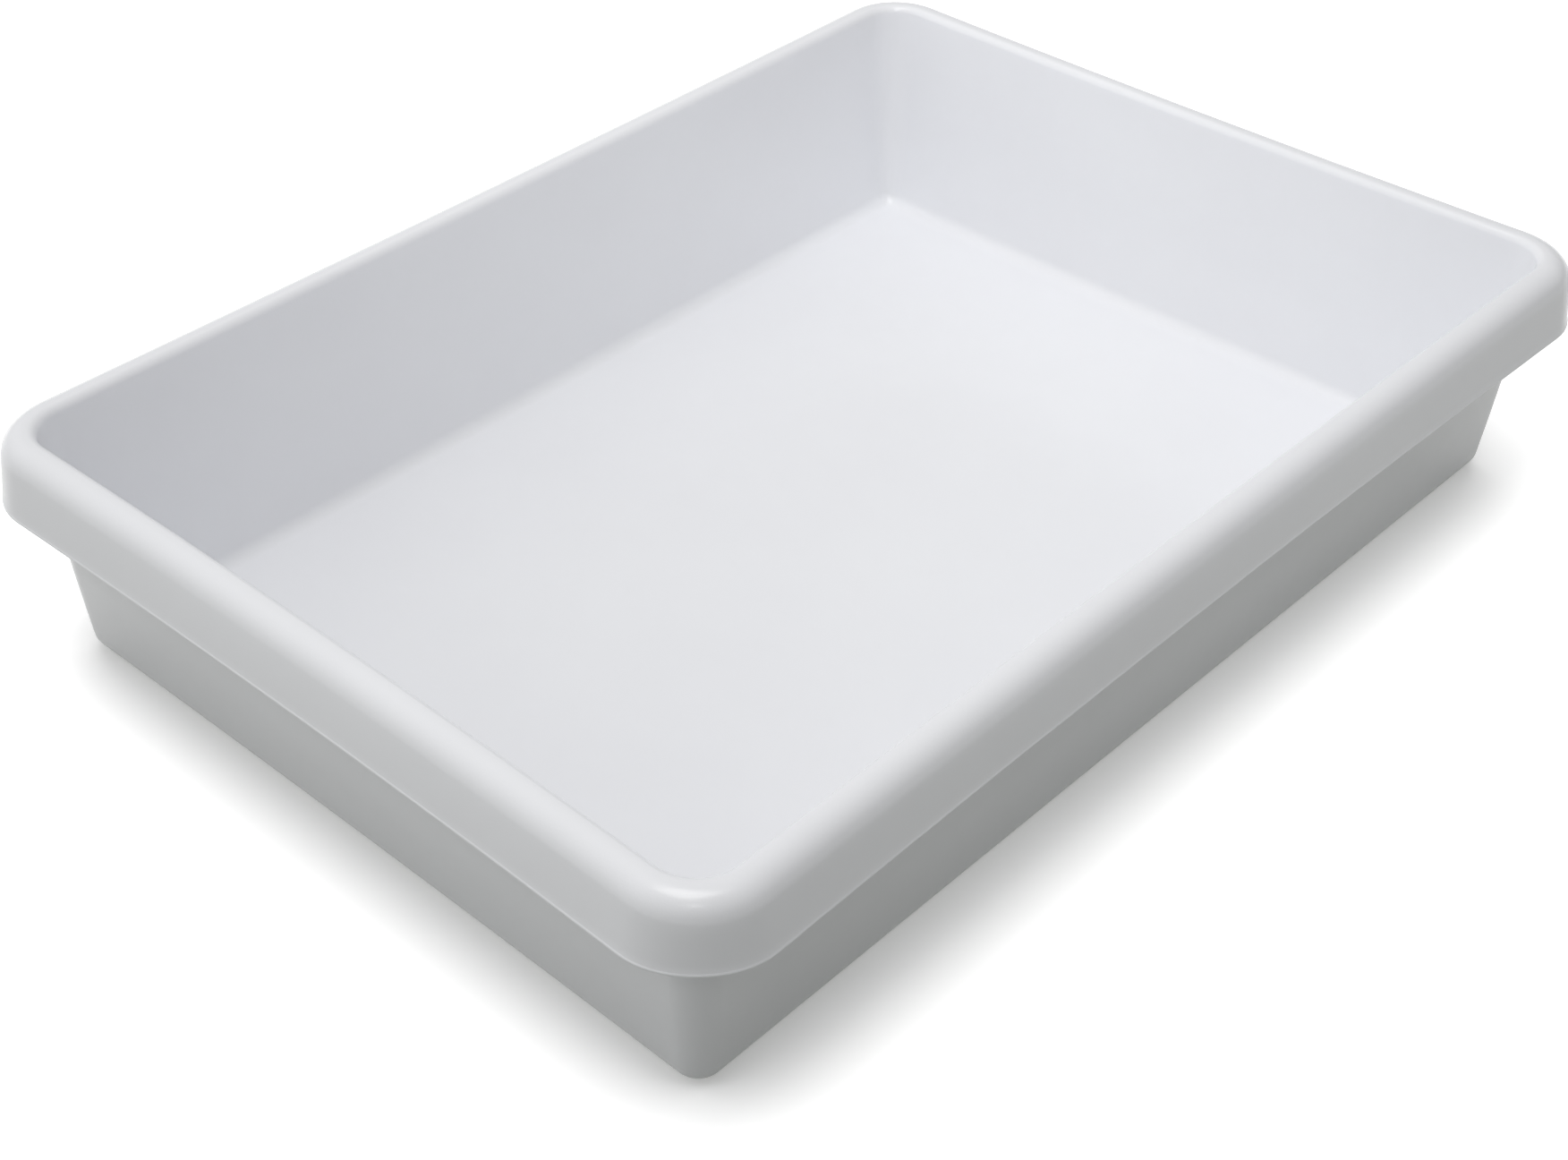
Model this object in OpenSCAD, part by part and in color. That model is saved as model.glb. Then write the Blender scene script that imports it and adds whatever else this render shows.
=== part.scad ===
// Developing tray: one sheet of plastic formed into a deep open basin.
// The walls lean outwards, and their top rolls over into a hollow rim with a flared skirt.

/* [Basin] */
// Length of the underside, between the outer faces of the end walls, in mm
base_length = 500; // [300:1:700]
// Width of the underside, between the outer faces of the side walls, in mm
base_width = 344; // [200:1:500]
// Height from the table to the crown of the rim, in mm
tray_height = 108; // [70:0.5:180]
// Thickness of the plastic in the floor, the walls and the rim, in mm
sheet = 2.5; // [1.5:0.1:4]
// Lean of the walls away from upright, in degrees
wall_lean = 5; // [0.5:0.5:8]
// Outer radius of the four upright corners at the underside, seen from above, in mm
corner_radius = 10; // [9.5:0.5:60]
// Inner radius of the bend between the floor and the walls, in mm
floor_bend = 6; // [3:0.5:7]

/* [Rim] */
// Outer radius of the bend from a wall up to the crown, in mm
inner_roll = 6; // [4.5:0.5:12]
// Width of the level strip along the crown, in mm
crown_strip = 0.5; // [0.5:0.5:12]
// Outer radius of the bend from the crown down to the skirt, in mm
outer_roll = 9.5; // [4.5:0.5:14]
// Height of the rim, from the crown down to the trimmed edge of the skirt, in mm
skirt_drop = 30; // [18:0.5:45]
// Flare of the skirt away from upright, in degrees
skirt_flare = 11; // [0.5:0.5:16]
// Chamfer along both corners of the trimmed edge, in mm
edge_chamfer = 0.4; // [0.1:0.1:0.7]

/* [Hidden] */
$fn = 96;
plastic_colour = [0.93, 0.94, 0.95];

// Bends are rounder than their neighbours by this much, so that the two cross instead of grazing
graze = 0.002;

// The cross-section is drawn with x measured outwards from the axis of a corner, and y upwards.
// Unit vectors: outwards through the wall, up along it, outwards through the skirt and down along it
across_wall = [cos(wall_lean), -sin(wall_lean)];
up_wall = [sin(wall_lean), cos(wall_lean)];
across_skirt = [cos(skirt_flare), sin(skirt_flare)];
down_skirt = [sin(skirt_flare), -cos(skirt_flare)];

// Bend between floor and wall
heel_radius = floor_bend + sheet;
heel_x = corner_radius + heel_radius * tan(wall_lean) - heel_radius / cos(wall_lean);
heel_centre = [heel_x, heel_radius];

// Flat length of the wall between its two bends, which brings the crown to its height
bend_offset = floor_bend + inner_roll;
wall_rise = tray_height - heel_radius - inner_roll + bend_offset * sin(wall_lean);
wall_length = wall_rise / cos(wall_lean);

// Bends on either side of the crown, and their radii on the hollow side
inner_roll_centre = heel_centre + bend_offset * across_wall + wall_length * up_wall;
outer_roll_centre = [inner_roll_centre[0] + crown_strip, tray_height - outer_roll];
inner_hollow = inner_roll - sheet;
outer_hollow = outer_roll - sheet;

// Flat length of the skirt, which brings its lowest corner to the trimmed height
skirt_fall = skirt_drop - outer_roll + (outer_hollow + edge_chamfer) * sin(skirt_flare);
skirt_length = skirt_fall / cos(skirt_flare);
skirt_foot = outer_roll_centre + skirt_length * down_skirt;

// Point inside the basin, a little below the inner roll, where the blocks below are joined up
basin_point = inner_roll_centre - (inner_roll + sheet) * across_wall - 2 * sheet * up_wall;

// Middle of the crown, where the inner roll hands over to the outer one
crown_x = inner_roll_centre[0] + crown_strip / 2;

// Axes of the four corners: the straight sides run between them
corner_axis_x = base_length / 2 - corner_radius;
corner_axis_y = base_width / 2 - corner_radius;

module disc(centre, radius) {
    translate(centre) circle(radius + graze);
}

// The part of a disc on one side of the crown's middle: -1 is the basin's side, 1 the skirt's
module part_disc(centre, radius, way) {
    intersection() {
        disc(centre, radius);
        translate([crown_x + way * tray_height, tray_height]) square(2 * tray_height, center = true);
    }
}

// Everything under the outer face of the rim, filled in
module rim_block() {
    part_disc(inner_roll_centre, inner_roll, -1);
    part_disc(outer_roll_centre, outer_roll, 1);
    polygon([
        inner_roll_centre - inner_roll * across_wall,
        inner_roll_centre + [0, inner_roll],
        outer_roll_centre + [0, outer_roll],
        outer_roll_centre + outer_roll * across_skirt,
        skirt_foot + outer_roll * across_skirt - edge_chamfer * down_skirt,
        skirt_foot + (outer_roll - edge_chamfer) * across_skirt,
        skirt_foot + (outer_hollow + edge_chamfer) * across_skirt,
        skirt_foot + (outer_hollow - edge_chamfer) * across_skirt - 2 * edge_chamfer * down_skirt,
        basin_point
    ]);
}

// Hollow under the rim; on the wall's side it reaches through to the basin
module channel() {
    part_disc(inner_roll_centre, inner_hollow, -1);
    part_disc(outer_roll_centre, outer_hollow, 1);
    polygon([
        inner_roll_centre - inner_hollow * across_wall,
        inner_roll_centre + [0, inner_hollow],
        outer_roll_centre + [0, outer_hollow],
        outer_roll_centre + outer_hollow * across_skirt,
        skirt_foot + outer_hollow * across_skirt + sheet * down_skirt,
        basin_point - skirt_length * up_wall,
        basin_point
    ]);
}

// Everything inside the outer faces of the floor and the walls, filled in up to the inner roll
module body_block() {
    disc(heel_centre, heel_radius);
    polygon([
        [0, 0],
        [heel_x, 0],
        heel_centre + heel_radius * across_wall,
        inner_roll_centre - inner_hollow * across_wall + sheet * up_wall,
        basin_point,
        [0, heel_radius]
    ]);
}

// The open space above the floor and between the walls
module basin() {
    disc(heel_centre, floor_bend);
    polygon([
        [0, sheet],
        [heel_x, sheet],
        heel_centre + floor_bend * across_wall,
        inner_roll_centre - inner_roll * across_wall + 2 * inner_roll * up_wall,
        [0, tray_height + inner_roll]
    ]);
}

// From a corner's axis outwards: floor, floor bend, wall, crown and skirt
module sheet_section() {
    difference() {
        intersection() {
            union() {
                difference() {
                    rim_block();
                    channel();
                }
                body_block();
            }
            square(tray_height);
        }
        basin();
    }
}

// One straight side, centred on the line between two corner axes
module side(length) {
    rotate([90, 0, 0]) linear_extrude(length, center = true) sheet_section();
}

module corner() {
    rotate_extrude(angle = 90) sheet_section();
}

// One end wall, one side wall and the two corners beside that side wall
module half_outline() {
    translate([corner_axis_x, 0, 0]) side(2 * corner_axis_y);
    translate([0, corner_axis_y, 0]) rotate(90) side(2 * corner_axis_x);
    translate([corner_axis_x, corner_axis_y, 0]) corner();
    translate([-corner_axis_x, corner_axis_y, 0]) rotate(90) corner();
}

module tray() {
    color(plastic_colour) {
        translate([-corner_axis_x, -corner_axis_y, 0]) cube([2 * corner_axis_x, 2 * corner_axis_y, sheet]);
        half_outline();
        rotate(180) half_outline();
    }
}

tray();
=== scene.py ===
import math

import bmesh
import bpy
from mathutils import Matrix, Vector


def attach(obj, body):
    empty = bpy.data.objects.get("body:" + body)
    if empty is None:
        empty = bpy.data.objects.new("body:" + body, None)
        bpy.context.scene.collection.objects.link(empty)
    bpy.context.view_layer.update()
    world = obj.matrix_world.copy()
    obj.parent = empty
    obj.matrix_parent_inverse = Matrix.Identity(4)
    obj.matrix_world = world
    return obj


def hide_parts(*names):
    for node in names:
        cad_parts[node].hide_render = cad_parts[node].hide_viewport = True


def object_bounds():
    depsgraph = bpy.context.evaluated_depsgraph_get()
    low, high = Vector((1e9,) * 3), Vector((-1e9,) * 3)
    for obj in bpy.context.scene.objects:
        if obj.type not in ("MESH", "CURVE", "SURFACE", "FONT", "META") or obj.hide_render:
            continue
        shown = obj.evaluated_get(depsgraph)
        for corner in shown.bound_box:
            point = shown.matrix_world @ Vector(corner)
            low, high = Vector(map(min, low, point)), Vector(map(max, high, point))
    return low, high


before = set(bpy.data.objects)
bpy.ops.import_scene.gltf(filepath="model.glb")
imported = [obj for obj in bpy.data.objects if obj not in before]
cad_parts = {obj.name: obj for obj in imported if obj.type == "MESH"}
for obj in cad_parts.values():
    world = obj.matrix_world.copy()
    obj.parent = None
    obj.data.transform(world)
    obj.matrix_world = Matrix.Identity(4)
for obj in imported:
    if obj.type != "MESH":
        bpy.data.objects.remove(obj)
cad_low, cad_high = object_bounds()

# Sizes, in metres -----------------------------------------------------------------------
half_length = cad_high.x            # outermost corner of the skirt
half_width = cad_high.y
height = cad_high.z
sheet = 0.0025                      # at the floor
rim_sheet = 0.0018                  # where forming has thinned it
wall_lean = math.radians(5)
skirt_flare = math.radians(11)
heel_radius = 0.0085                # outside of the bend between floor and wall
skirt_drop = 0.030
lip_radius = 0.0006                 # rounding of the trimmed edge
bead = 0.00025                      # how far the trimmed edge stands proud of the skirt
bead_height = 0.0010
bead_ramp = 0.0006                  # over which the skirt swells into the bead
bead_crease = 0.0003                # between the bead's face and the lip's rounding
corner_radius = 0.010               # at the foot of the walls
corner_reach = 0.03645              # from a corner's axis to the skirt's outermost edge

# The straight sides run between the corner axes
axis_x = half_length - corner_reach
axis_y = half_width - corner_reach

# The rim is an arch of two bends that share its crown: up from the wall, and down to the skirt
inner_roll = 0.0035
outer_roll = 0.01005
crown_drop = 0.0020                 # of the rim's crown below the top of the drawing
crown_height = height - crown_drop
inner_centre = Vector((0.0211, crown_height - inner_roll))
outer_centre = Vector((0.0221, crown_height - outer_roll))
wall_ends = 0.0250                  # offset between the wall's outside and the skirt's inside


def vec(angle):
    return Vector((math.cos(angle), math.sin(angle)))


across_wall = vec(-wall_lean)
across_skirt = vec(skirt_flare)
down_skirt = vec(skirt_flare - math.pi / 2)
heel_x = corner_radius + heel_radius * math.tan(wall_lean) - heel_radius / math.cos(wall_lean)
heel_centre = Vector((heel_x, heel_radius))
hem = height - skirt_drop
skirt_fall = outer_centre.y - hem + (outer_roll - rim_sheet + lip_radius) * math.sin(skirt_flare)
skirt_foot = outer_centre + skirt_fall / math.cos(skirt_flare) * down_skirt


# Section of the sheet: offset outwards from the corner axis, and height ------------------
def arc(centre, radius, start, end, steps):
    return [centre + radius * vec(start + (end - start) * i / steps) for i in range(steps + 1)]


def line(a, b, steps):
    return [a.lerp(b, i / steps) for i in range(1, steps)]


def arch(thickness):
    """From the wall's top over the crown to the skirt's top, so far inside the rim's face."""
    return (arc(inner_centre, inner_roll - thickness, math.pi - wall_lean, math.pi / 2, 12)
            + arc(outer_centre, outer_roll - thickness, math.pi / 2, skirt_flare, 18))


def section():
    """Points from the floor's top, over the rim to the trimmed edge, and back to the underside."""
    points = arc(heel_centre, heel_radius - sheet, -math.pi / 2, -wall_lean, 9)
    over = arch(0)
    points += line(points[-1], over[0], 14) + over
    lip_outer = (skirt_foot + (outer_roll - lip_radius) * across_skirt
                 - lip_radius * down_skirt)
    lip_inner = (skirt_foot + (outer_roll - rim_sheet + lip_radius) * across_skirt
                 - lip_radius * down_skirt)
    lip_start = lip_outer + lip_radius * across_skirt
    bead_top = lip_start - bead_height * down_skirt
    points += line(points[-1], bead_top - bead * across_skirt, 6)
    points += [bead_top - bead * across_skirt,
               bead_top - 0.8 * bead * across_skirt + 0.5 * bead_ramp * down_skirt,
               bead_top + bead_ramp * down_skirt,
               lip_start - bead_crease * down_skirt]
    points += arc(lip_outer, lip_radius, skirt_flare, skirt_flare - math.pi / 2, 4)
    points += arc(lip_inner, lip_radius, skirt_flare - math.pi / 2, skirt_flare - math.pi, 4)
    under = arch(rim_sheet)[::-1]
    points += line(points[-1], under[0], 6) + under
    points += line(points[-1], heel_centre + heel_radius * across_wall, 14)
    points += arc(heel_centre, heel_radius, -wall_lean, -math.pi / 2, 10)
    return points


# Stations round the tray ------------------------------------------------------------------
side_steps = 78
end_steps = 54
corner_steps = 18


def stations():
    """Floor grid vertex on the border and outward angle, for each section going round."""
    found = []
    for side in range(4):
        along_x = side % 2 == 0
        steps = side_steps if along_x else end_steps
        out = (side - 1) * math.pi / 2
        for i in range(steps + 1):
            near = i if side < 2 else steps - i
            if along_x:
                cell = (near, 0 if side == 0 else end_steps)
            else:
                cell = (side_steps if side == 1 else 0, near)
            found.append((cell, out))
        for i in range(1, corner_steps):
            found.append((cell, out + math.pi / 2 * i / corner_steps))
    return found


def grid_place(cell):
    return Vector((axis_x * (2 * cell[0] / side_steps - 1), axis_y * (2 * cell[1] / end_steps - 1)))


# Departures from the drawing: bows that fit the outline, and small made-up waves -----------
bow_foot = Vector((-0.0022, -0.0008))     # of the short ends and the long sides, inwards
bow_rim = Vector((0.0040, 0.0026))
bow_hem = Vector((0.0034, 0.0035))
corner_draw = 0.0012                      # of the skirt's edge at the middle of a corner
trim_mean = 0.00022                       # cut off the skirt's edge beyond the drawing
trim_wander = 0.00010
trim_reach = 0.03                         # outwards from the corner axis, where the wander is read
floor_rise = 0.0006                       # at the middle of the floor
floor_wave = 0.00012


def bowed(point, on_skirt):
    """The sides bend in a little at the rim and belly out at the foot, most at mid-side."""
    rise = min(max(point.z / height, 0), 1)
    bow = bow_foot.lerp(bow_rim, rise).lerp(bow_hem, on_skirt)
    fx, fy = abs(point.x) / half_length, abs(point.y) / half_width
    x = point.x - math.copysign(bow.x * max(0, 1 - fy * fy) * fx ** 4, point.x)
    y = point.y - math.copysign(bow.y * max(0, 1 - fx * fx) * fy ** 4, point.y)
    return Vector((x, y, point.z))


def trimmed(place):
    """How much shorter the skirt was trimmed here than the drawing says."""
    x, y = place.x, place.y
    wander = (math.sin(11 * x + 7 * y + 0.6)
              + 0.6 * math.sin(31 * x - 23 * y + 2.1)
              + 0.3 * math.sin(83 * x + 71 * y))
    return trim_mean + trim_wander * wander


def settled(x, y):
    """Faint rise and waviness of the floor between its bends."""
    fx, fy = x / axis_x, y / axis_y
    inside = max(0, 1 - fx * fx) * max(0, 1 - fy * fy)
    wave = math.sin(23 * x + 4 * y + 0.4) + math.sin(29 * y - 6 * x + 1.3)
    return inside * (floor_rise + floor_wave * wave)


def build_shell():
    path = section()
    ring = stations()
    count = len(path)
    vertices, faces = [], []

    for cell, out in ring:
        place = grid_place(cell)
        cut = trimmed(place + trim_reach * vec(out))
        for point in path:
            on_skirt = 0
            if point.x > wall_ends:
                on_skirt = min(max((outer_centre.y - point.y) / (outer_centre.y - hem), 0), 1)
            section_point = point - on_skirt * cut * down_skirt
            drawn = corner_draw * on_skirt * math.sin(2 * out) ** 2
            flat = place + (section_point.x - drawn) * vec(out)
            vertices.append(bowed(Vector((flat.x, flat.y, section_point.y)), on_skirt))

    total = len(ring)
    for s in range(total):
        n = (s + 1) % total
        for p in range(count - 1):
            faces.append((s * count + p, n * count + p, n * count + p + 1, s * count + p + 1))

    for level, last in ((sheet, 0), (0, count - 1)):
        first = len(vertices)
        for j in range(end_steps + 1):
            for i in range(side_steps + 1):
                flat = grid_place((i, j))
                z = level + settled(flat.x, flat.y)
                vertices.append(bowed(Vector((flat.x, flat.y, z)), 0))

        def at(cell):
            return first + cell[1] * (side_steps + 1) + cell[0]

        for j in range(end_steps):
            for i in range(side_steps):
                quad = (at((i, j)), at((i + 1, j)), at((i + 1, j + 1)), at((i, j + 1)))
                faces.append(quad if last == 0 else quad[::-1])
        for s in range(total):
            n = (s + 1) % total
            a, b = at(ring[s][0]), at(ring[n][0])
            outer = (n * count + last, s * count + last)
            face = (a, b) + outer if a != b else (a,) + outer
            faces.append(face[::-1] if last == 0 else face)

    mesh = bpy.data.meshes.new("tray_shell")
    mesh.from_pydata(vertices, [], faces)
    mesh.validate()
    shell = bpy.data.objects.new("tray_shell", mesh)
    bpy.context.scene.collection.objects.link(shell)

    work = bmesh.new()
    work.from_mesh(mesh)
    bmesh.ops.recalc_face_normals(work, faces=work.faces)
    work.to_mesh(mesh)
    work.free()
    mesh.polygons.foreach_set("use_smooth", [True] * len(mesh.polygons))
    mesh.update()
    return shell


# Material ---------------------------------------------------------------------------------
def node(tree, kind, **inputs):
    made = tree.nodes.new(kind)
    for name, value in inputs.items():
        made.inputs[name.replace("_", " ")].default_value = value
    return made


def spread(tree, value, start, end, low, high):
    """Take a value that runs from start to end, and make it run from low to high."""
    made = node(tree, "ShaderNodeMapRange", From_Min=start, From_Max=end, To_Min=low, To_Max=high)
    tree.links.new(value, made.inputs["Value"])
    return made.outputs["Result"]


def white_plastic():
    material = bpy.data.materials.new("white_plastic")
    material.use_nodes = True
    tree = material.node_tree
    shader = tree.nodes["Principled BSDF"]
    shader.inputs["IOR"].default_value = 1.53
    link = tree.links.new
    place = tree.nodes.new("ShaderNodeTexCoord").outputs["Object"]

    # Slow drift of the colour
    cloud = node(tree, "ShaderNodeTexNoise", Scale=9.0, Detail=4.0, Roughness=0.55)
    link(place, cloud.inputs["Vector"])
    tint = tree.nodes.new("ShaderNodeValToRGB")
    tint.color_ramp.elements[0].position = 0.3
    tint.color_ramp.elements[0].color = (0.862, 0.870, 0.90, 1)
    tint.color_ramp.elements[1].position = 0.7
    tint.color_ramp.elements[1].color = (0.882, 0.892, 0.920, 1)
    link(cloud.outputs["Fac"], tint.inputs["Fac"])
    link(tint.outputs["Color"], shader.inputs["Base Color"])

    # Finer drift of the gloss
    scuffs = node(tree, "ShaderNodeTexNoise", Scale=45.0, Detail=3.0, Roughness=0.5)
    link(place, scuffs.inputs["Vector"])
    gloss = spread(tree, scuffs.outputs["Fac"], 0.25, 0.75, 0.20, 0.26)
    link(gloss, shader.inputs["Roughness"])

    # Orange peel of the sheet over the faint swell left by forming
    peel = node(tree, "ShaderNodeTexNoise", Scale=1400.0, Detail=2.0)
    swell = node(tree, "ShaderNodeTexNoise", Scale=26.0, Detail=2.0)
    link(place, peel.inputs["Vector"])
    link(place, swell.inputs["Vector"])
    broad = node(tree, "ShaderNodeBump", Strength=0.5, Distance=0.0006)
    link(swell.outputs["Fac"], broad.inputs["Height"])
    fine = node(tree, "ShaderNodeBump", Strength=0.25, Distance=0.00012)
    link(peel.outputs["Fac"], fine.inputs["Height"])
    link(broad.outputs["Normal"], fine.inputs["Normal"])
    link(fine.outputs["Normal"], shader.inputs["Normal"])
    return material


# The studio -------------------------------------------------------------------------------
def studio():
    reach = 60.0                        # far enough that low views meet it at the horizon
    mesh = bpy.data.meshes.new("studio_floor")
    corners = [(-reach, -reach, 0), (reach, -reach, 0), (reach, reach, 0), (-reach, reach, 0)]
    mesh.from_pydata(corners, [], [(0, 1, 2, 3)])
    floor = bpy.data.objects.new("studio_floor", mesh)
    bpy.context.scene.collection.objects.link(floor)
    floor.location.z = -0.0002          # just clear of the tray's underside
    floor.visible_diffuse = False       # the world's lower half lights the tray from below instead

    # White paper with a painted glow of its own, dimmed into a painted shadow beside and under the
    # tray
    paper = bpy.data.materials.new("paper")
    paper.use_nodes = True
    shader = paper.node_tree.nodes["Principled BSDF"]
    shader.inputs["Base Color"].default_value = (0.95, 0.95, 0.95, 1)
    shader.inputs["Roughness"].default_value = 0.95
    shader.inputs["Specular IOR Level"].default_value = 0.1
    shader.inputs["Emission Color"].default_value = (1, 1, 1, 1)
    tree = paper.node_tree
    # Painted shadow: ambient occlusion turns the paper's painted glow down near the tray
    painted_shadow_occlusion = node(tree, "ShaderNodeAmbientOcclusion", Distance=0.05)
    painted_glow_and_shadow = spread(tree, painted_shadow_occlusion.outputs["AO"], 0.5, 0.9, 0.20, 0.60)
    tree.links.new(painted_glow_and_shadow, shader.inputs["Emission Strength"])
    mesh.materials.append(paper)

    # Soft light all round: most from behind on the left, least from where the photographer stands
    world = bpy.data.worlds.new("studio")
    bpy.context.scene.world = world
    world.use_nodes = True
    tree = world.node_tree
    towards = tree.nodes.new("ShaderNodeTexCoord").outputs["Generated"]

    def facing(direction, start, end, low, high):
        dot = tree.nodes.new("ShaderNodeVectorMath")
        dot.operation = "DOT_PRODUCT"
        dot.inputs[1].default_value = direction
        tree.links.new(towards, dot.inputs[0])
        return spread(tree, dot.outputs["Value"], start, end, low, high)

    product = tree.nodes.new("ShaderNodeMath")
    product.operation = "MULTIPLY"
    tree.links.new(facing((-0.95, 0.3, 0), -1, 1, 0.32, 1.02), product.inputs[0])
    tree.links.new(facing((-0.64, -0.64, 0.42), 0.35, 1, 1.0, 0.4), product.inputs[1])
    mixed = tree.nodes.new("ShaderNodeMix")
    mixed.data_type = "RGBA"
    mixed.inputs["A"].default_value = (0.09, 0.10, 0.08, 1)
    tree.links.new(facing((0, 0, 1), -0.02, 0.02, 0, 1), mixed.inputs["Factor"])
    tree.links.new(product.outputs["Value"], mixed.inputs["B"])
    tree.links.new(mixed.outputs["Result"], tree.nodes["Background"].inputs["Color"])


def hang(name, data, place, aim):
    lamp = bpy.data.objects.new(name, data)
    bpy.context.scene.collection.objects.link(lamp)
    lamp.location = place
    lamp.rotation_euler = (Vector(aim) - Vector(place)).to_track_quat("-Z", "Y").to_euler()


def area_light(name, place, aim, size, watts, colour):
    data = bpy.data.lights.new(name, "AREA")
    data.shape = "RECTANGLE"
    data.size, data.size_y = size
    data.energy = watts
    data.color = colour
    hang(name, data, place, aim)


def snooted_light(name, place, aim, cone, watts):
    data = bpy.data.lights.new(name, "SPOT")
    data.spot_size, data.spot_blend = cone, 1.0
    data.shadow_soft_size = 0.25
    data.energy = watts
    hang(name, data, place, aim)


def camera():
    """The viewing angle of the photograph, fitted to the tray's edges, with a slight roll."""
    eye = Vector((-0.6308, -0.5428, 0.6290))
    azimuth, elevation, roll = math.radians(-45.08), math.radians(37.75), math.radians(-0.96)
    back = Vector((math.sin(azimuth) * math.cos(elevation),
                   -math.cos(azimuth) * math.cos(elevation),
                   math.sin(elevation)))
    right = (-back).cross(Vector((0, 0, 1))).normalized()
    up = right.cross(-back)
    tilted_right = math.cos(roll) * right + math.sin(roll) * up
    tilted_up = -math.sin(roll) * right + math.cos(roll) * up
    data = bpy.data.cameras.new("camera")
    data.sensor_width = 36
    data.lens = 56.31
    data.shift_x, data.shift_y = 0.0724, -0.0032
    data.dof.use_dof = False
    seen = bpy.data.objects.new("camera", data)
    bpy.context.scene.collection.objects.link(seen)
    turn = Matrix((tilted_right, tilted_up, back)).transposed()
    seen.matrix_world = Matrix.Translation(eye) @ turn.to_4x4()
    bpy.context.scene.camera = seen


shell = build_shell()
shell.data.materials.append(white_plastic())
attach(shell, "root")
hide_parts("tray")

studio()
area_light("overhead", (-0.35, 0.0, 2.0), (0, 0, 0), (1.0, 1.0), 11.5, (1.0, 0.99, 0.97))
snooted_light("into_far_corner", (-0.9, -0.75, 1.5), (0.19, 0.13, 0.05), math.radians(22), 36)
camera()
bpy.context.scene.view_settings.view_transform = "Standard"
